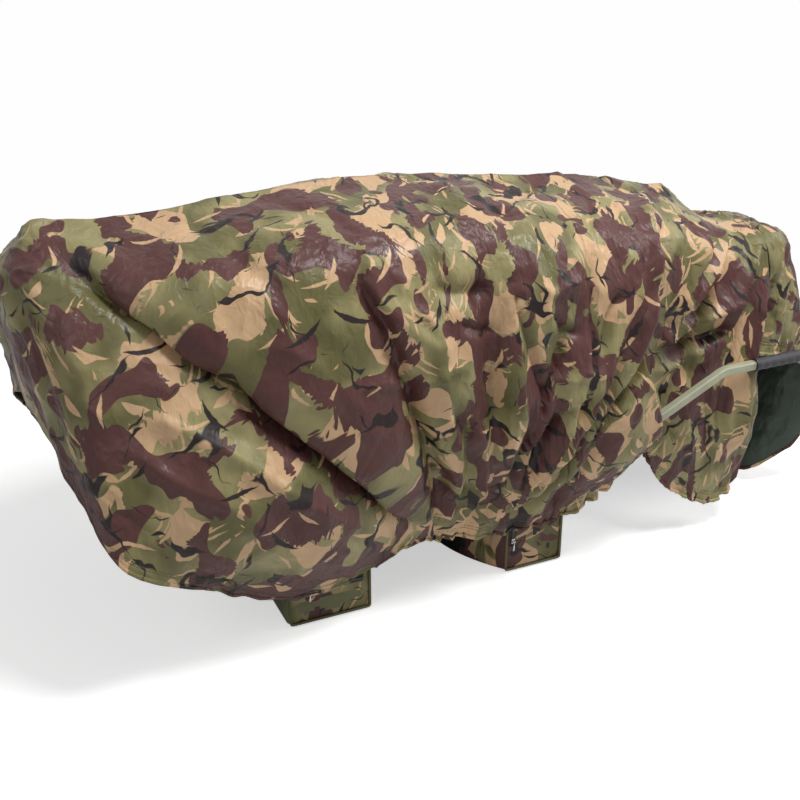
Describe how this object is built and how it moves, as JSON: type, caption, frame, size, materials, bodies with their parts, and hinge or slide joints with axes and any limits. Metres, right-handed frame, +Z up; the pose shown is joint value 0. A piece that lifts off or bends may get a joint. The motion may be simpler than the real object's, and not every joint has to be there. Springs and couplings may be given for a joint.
{
  "type": "covered two-handled gear carrier",
  "caption": "Loaded tube-frame carrier under a fitted camouflage rain cover, with two zipped bags below and a pair of sliding handles.",
  "frame": {"origin": "centre of the flat base of the front bag, on the ground", "axes": "+X along the rails towards the handles, +Y to the far side away from the zips, +Z up"},
  "size_m": [1.8468, 0.7398, 0.9],
  "materials": {
    "cover_cloth": "satin coated camouflage print",
    "cover_hem": "gathered hem, matte",
    "frame_paint": "satin olive paint",
    "black_plastic": "matte",
    "grip_rubber": "matte ribbed",
    "bag_cloth": "woven camouflage and plain cloth",
    "bag_binding": "woven tape",
    "zip_tape": "woven tape",
    "zip_metal": "bright",
    "load_cloth": "matte"
  },
  "bodies": {
    "frame": {"cover_front_panel": "cover_cloth", "cover_middle_panel": "cover_cloth", "cover_rear_panel": "cover_cloth", "cover_tail_panel": "cover_cloth", "cross_tube_1": "frame_paint", "cross_tube_2": "frame_paint", "cross_tube_3": "frame_paint", "cross_tube_4": "frame_paint", "cross_tube_5": "frame_paint", "cross_tube_6": "frame_paint", "frame_rail_left": "frame_paint", "frame_rail_right": "frame_paint", "front_bag": "bag_cloth", "front_bag_piping_far": "bag_binding", "front_bag_piping_near": "bag_binding", "front_rack_hoop": "frame_paint", "front_zip_coil": "black_plastic", "front_zip_tape": "zip_tape", "handle_clamp_left": "black_plastic", "handle_clamp_right": "black_plastic", "hem_casing_front": "cover_hem", "hem_casing_rear_left": "cover_hem", "hem_casing_rear_right": "cover_hem", "hem_casing_tail": "cover_hem", "load_carryall": "load_cloth", "load_holdall": "load_cloth", "load_rear_bag": "load_cloth", "rail_end_cap_left": "black_plastic", "rail_end_cap_right": "black_plastic", "rear_bag": "bag_cloth", "rear_bag_piping_far": "bag_binding", "rear_bag_piping_near": "bag_binding", "rear_deck_hoop": "frame_paint", "rear_zip_coil": "black_plastic", "rear_zip_tape": "zip_tape"},
    "handle_left": {"handle_tube_left": "frame_paint", "handle_grip_left": "grip_rubber", "grip_collar_left": "black_plastic"},
    "handle_right": {"handle_tube_right": "frame_paint", "handle_grip_right": "grip_rubber", "grip_collar_right": "black_plastic"},
    "screw_left": {"clamp_screw_left": "black_plastic"},
    "screw_right": {"clamp_screw_right": "black_plastic"},
    "front_slider": {"front_zip_slider": "zip_metal"},
    "front_pull": {"front_zip_pull": "zip_metal"},
    "rear_slider": {"rear_zip_slider": "zip_metal"},
    "rear_pull": {"rear_zip_pull": "zip_metal"}
  },
  "joints": [
    {"name": "handle_left_slide", "type": "slide", "parent": "frame", "child": "handle_left", "axis": [1, 0, 0], "range_m": [0, 0.1]},
    {"name": "handle_right_slide", "type": "slide", "parent": "frame", "child": "handle_right", "axis": [1, 0, 0], "range_m": [0, 0.1]},
    {"name": "clamp_screw_left_turn", "type": "hinge", "parent": "frame", "child": "screw_left", "pos_m": [0.6626, -0.29, 0.33], "axis": [0, 0, 1], "range_deg": [-270, 0]},
    {"name": "clamp_screw_right_turn", "type": "hinge", "parent": "frame", "child": "screw_right", "pos_m": [0.6626, 0.29, 0.33], "axis": [0, 0, 1], "range_deg": [-270, 0]},
    {"name": "front_zip_slide", "type": "slide", "parent": "frame", "child": "front_slider", "axis": [1, 0, 0], "range_m": [0, 0.09]},
    {"name": "front_pull_swing", "type": "hinge", "parent": "front_slider", "child": "front_pull", "pos_m": [-0.048, -0.22355, 0.082], "axis": [1, 0, 0], "range_deg": [-150, 0]},
    {"name": "rear_zip_slide", "type": "slide", "parent": "frame", "child": "rear_slider", "axis": [0, 0, 1], "range_m": [0, 0.14]},
    {"name": "rear_pull_swing", "type": "hinge", "parent": "rear_slider", "child": "rear_pull", "pos_m": [0.434, -0.22355, 0.08], "axis": [1, 0, 0], "range_deg": [-150, 0]}
  ]
}
